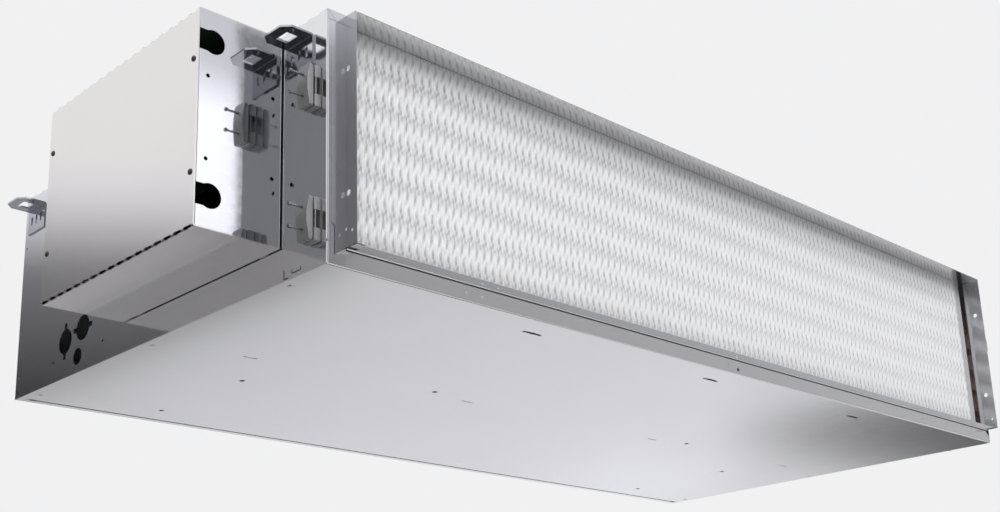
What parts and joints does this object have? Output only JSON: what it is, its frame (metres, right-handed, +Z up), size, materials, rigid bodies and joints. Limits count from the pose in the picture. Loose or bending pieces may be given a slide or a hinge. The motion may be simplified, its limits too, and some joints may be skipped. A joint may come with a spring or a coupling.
{
  "type": "ducted fan coil unit",
  "caption": "Ceiling-hung ducted fan coil unit: long low sheet-metal casing, finned coil behind a duct collar, scroll fans, drain pan, slide-out filter and a side electrical box.",
  "frame": {"origin": "middle of the casing's underside", "axes": "+X along the casing from the electrical box to the water connections, +Y from the duct collar to the filter, +Z up"},
  "size_m": [1.363, 0.61, 0.25],
  "materials": {
    "galvanised_sheet": "satin galvanised steel sheet",
    "bright_galvanised": "bright galvanised steel sheet",
    "box_cover_sheet": "pale satin zinc-coated sheet",
    "panel_sheet": "pale satin zinc-coated sheet",
    "coil_fin": "thin bright aluminium fins",
    "copper_tube": "bare copper tube",
    "brass_fitting": "machined brass",
    "bracket_steel": "zinc-plated pressed steel",
    "clamp_metal": "cast zinc, dull",
    "screw_steel": "bright zinc-plated screws",
    "fan_steel": "galvanised pressed steel",
    "shaft_steel": "ground steel",
    "motor_paint": "dark satin enamel",
    "foam_liner": "closed-cell foam sheet",
    "filter_frame": "mill-finish aluminium channel",
    "filter_mesh": "woven filter mesh",
    "terminal_plastic": "moulded thermoplastic",
    "circuit_board": "glass-fibre board",
    "capacitor_case": "moulded case"
  },
  "bodies": {
    "casing": {"left_side_panel": "galvanised_sheet", "right_side_panel": "galvanised_sheet", "top_panel": "galvanised_sheet", "bottom_panel": "panel_sheet", "collar_top": "galvanised_sheet", "collar_left": "galvanised_sheet", "collar_right": "galvanised_sheet", "drain_pan": "galvanised_sheet", "coil_fins": "coil_fin", "coil_end_plate_left": "galvanised_sheet", "coil_end_plate_right": "galvanised_sheet", "coil_return_bends": "copper_tube", "coil_feed_tubes": "copper_tube", "supply_header": "copper_tube", "return_header": "copper_tube", "supply_connection": "brass_fitting", "return_connection": "brass_fitting", "air_vent_body": "brass_fitting", "box_body": "bright_galvanised", "box_cover": "box_cover_sheet", "cover_screws": "screw_steel", "terminal_block": "terminal_plastic", "control_board": "circuit_board", "capacitors": "capacitor_case", "hanging_bracket_left_front": "bracket_steel", "hanging_bracket_left_rear": "bracket_steel", "hanging_bracket_right_front": "bracket_steel", "hanging_bracket_right_rear": "bracket_steel", "upper_clamp_base": "clamp_metal", "upper_clamp_screws": "screw_steel", "lower_clamp_base": "clamp_metal", "lower_clamp_screws": "screw_steel", "fan_deck": "galvanised_sheet", "fan_housing_left": "fan_steel", "fan_housing_centre": "fan_steel", "fan_housing_right": "fan_steel", "motor_left": "motor_paint", "motor_right": "motor_paint", "motor_cradle_left": "galvanised_sheet", "motor_cradle_right": "galvanised_sheet", "filter_rail_bottom": "galvanised_sheet", "filter_rail_top": "galvanised_sheet", "top_liner": "foam_liner"},
    "fan_rotor_left": {"shaft_left": "shaft_steel", "impeller_left": "fan_steel", "impeller_centre": "fan_steel"},
    "fan_rotor_right": {"shaft_right": "shaft_steel", "impeller_right": "fan_steel"},
    "filter": {"filter_frame": "filter_frame", "filter_media": "filter_mesh", "filter_pull": "filter_frame"},
    "upper_clamp": {"upper_clamp_bar": "clamp_metal"},
    "lower_clamp": {"lower_clamp_bar": "clamp_metal"},
    "air_vent": {"air_vent_key": "brass_fitting"}
  },
  "joints": [
    {"name": "left_fan_spin", "type": "hinge", "parent": "casing", "child": "fan_rotor_left", "pos_m": [-0.19, 0.1425, 0.11], "axis": [1, 0, 0], "continuous": true},
    {"name": "right_fan_spin", "type": "hinge", "parent": "casing", "child": "fan_rotor_right", "pos_m": [0.19, 0.1425, 0.11], "axis": [1, 0, 0], "continuous": true},
    {"name": "filter_slide", "type": "slide", "parent": "casing", "child": "filter", "axis": [1, 0, 0], "range_m": [0, 1.15]},
    {"name": "upper_clamp_slide", "type": "slide", "parent": "casing", "child": "upper_clamp", "axis": [-1, 0, 0], "range_m": [0, 0.01]},
    {"name": "lower_clamp_slide", "type": "slide", "parent": "casing", "child": "lower_clamp", "axis": [-1, 0, 0], "range_m": [0, 0.01]},
    {"name": "air_vent_turn", "type": "hinge", "parent": "casing", "child": "air_vent", "pos_m": [0.631, -0.27075, 0.2075], "axis": [0, 0, 1], "range_deg": [0, 180]}
  ]
}
